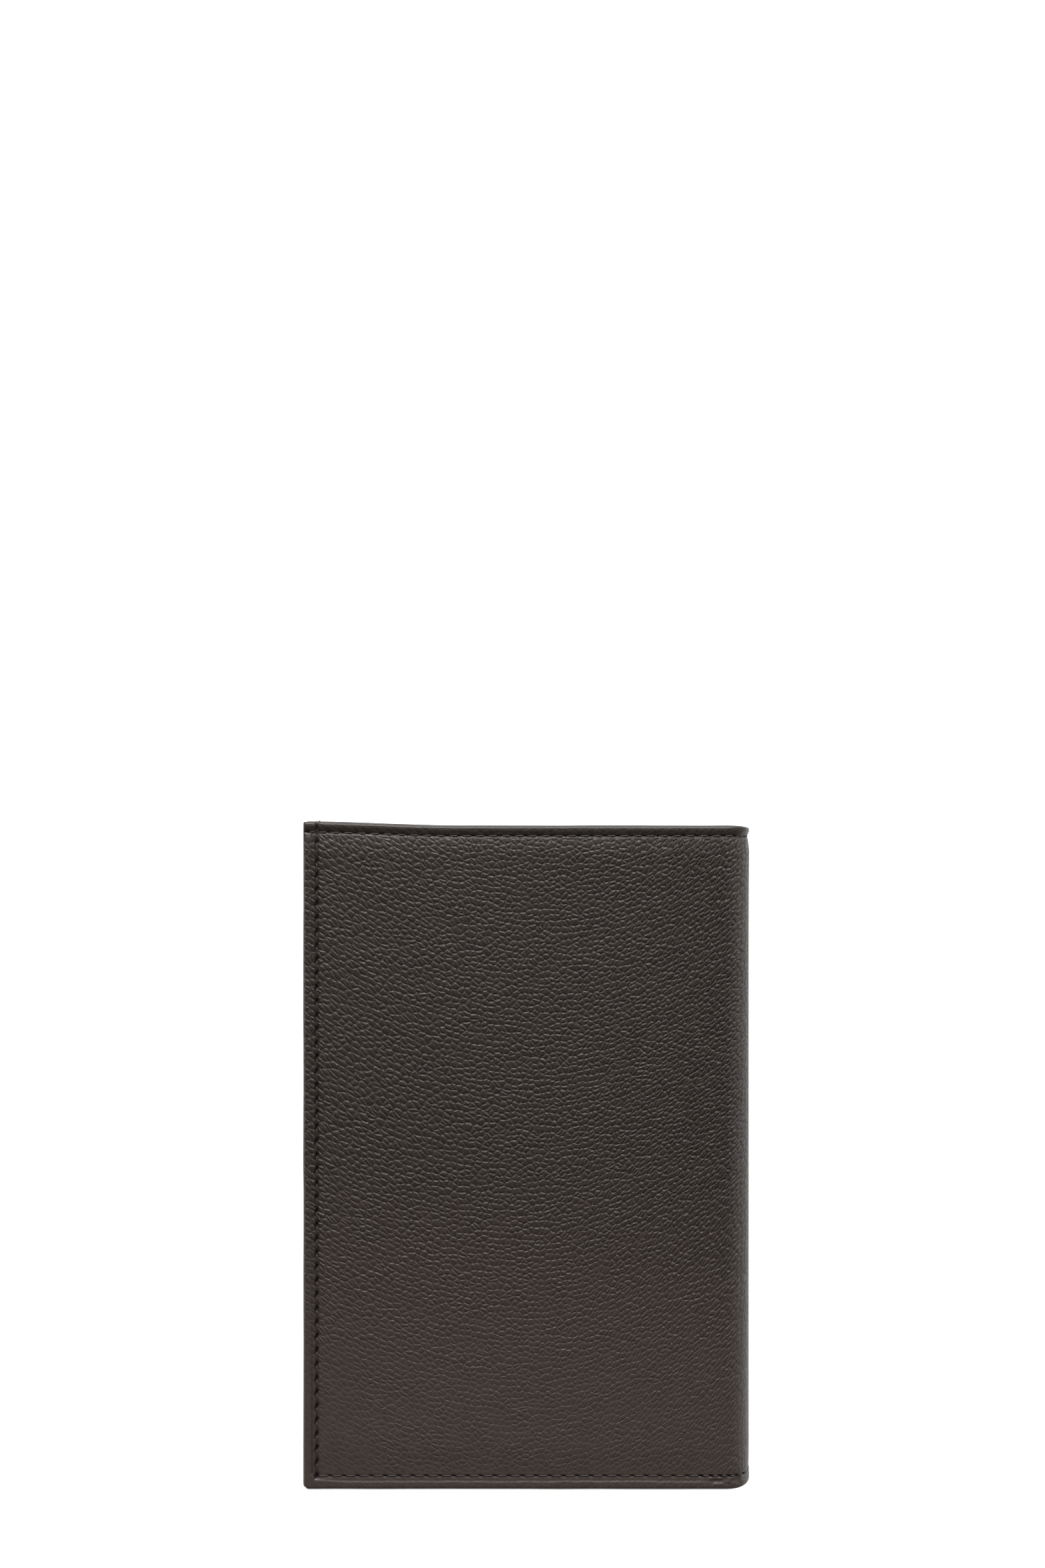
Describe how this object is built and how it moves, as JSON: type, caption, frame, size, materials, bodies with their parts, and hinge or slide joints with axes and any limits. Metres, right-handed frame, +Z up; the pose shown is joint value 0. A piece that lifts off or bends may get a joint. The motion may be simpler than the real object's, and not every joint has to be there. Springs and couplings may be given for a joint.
{
  "type": "passport holder",
  "caption": "Closed leather passport holder with a turned, stitched edge, a bill compartment, passport pockets and stepped card pockets; it opens flat on two coupled folds.",
  "frame": {"origin": "centre of the closed holder's outline, on the outer face of the front cover, which lies on the table", "axes": "+X from the free side to the spine, +Y from the bottom edge to the top edge, +Z up through the closed holder from the front cover to the back cover, which is the face in the picture"},
  "size_m": [0.0974, 0.145, 0.016],
  "materials": {
    "shell_leather": "dark brown pebbled cowhide, turned edge",
    "inner_leather": "thin dark brown leather, fine grain",
    "lining_cloth": "plain woven polyester lining",
    "seam_thread": "bonded polyester thread, dark brown",
    "stiffener_board": "bonded fibre board",
    "foam": "thin padding felt"
  },
  "bodies": {
    "front_cover": {"front_shell_leather": "shell_leather", "front_foam_pad": "foam", "front_stiffener_board": "stiffener_board", "front_shell_lining": "lining_cloth", "front_compartment_lining": "lining_cloth", "front_inner_leather": "inner_leather", "passport_welt_side": "inner_leather", "passport_welt_bottom": "inner_leather", "passport_welt_top": "inner_leather", "passport_pocket_panel": "inner_leather", "front_seam_stitches": "seam_thread", "front_top_stitches": "seam_thread", "passport_pocket_stitches": "seam_thread"},
    "spine": {"spine_shell_leather": "shell_leather", "spine_foam_pad": "foam", "spine_stay": "stiffener_board", "spine_shell_lining": "lining_cloth", "spine_compartment_lining": "lining_cloth", "spine_inner_leather": "inner_leather", "spine_stitches": "seam_thread"},
    "back_cover": {"back_shell_leather": "shell_leather", "back_foam_pad": "foam", "back_stiffener_board": "stiffener_board", "back_shell_lining": "lining_cloth", "back_compartment_lining": "lining_cloth", "back_inner_leather": "inner_leather", "slip_welt_side": "inner_leather", "slip_welt_bottom": "inner_leather", "slip_welt_top": "inner_leather", "slip_pocket_panel": "inner_leather", "card_welt_left": "inner_leather", "card_welt_right": "inner_leather", "card_welt_bottom": "inner_leather", "card_tongue_upper": "lining_cloth", "card_tongue_middle": "lining_cloth", "card_pocket_upper": "inner_leather", "card_pocket_middle": "inner_leather", "card_pocket_lower": "inner_leather", "back_seam_stitches": "seam_thread", "back_top_stitches": "seam_thread", "card_seam_stitches": "seam_thread"}
  },
  "joints": [
    {"name": "front_fold", "type": "hinge", "parent": "front_cover", "child": "spine", "pos_m": [0.04723, 0, 0.00152], "axis": [0, 1, 0], "range_deg": [0, 90]},
    {"name": "back_fold", "type": "hinge", "parent": "spine", "child": "back_cover", "pos_m": [0.04723, 0, 0.01448], "axis": [0, 1, 0], "range_deg": [0, 90]}
  ],
  "couplings": [
    {"joint": "back_fold", "follows": "front_fold", "ratio": 1}
  ]
}
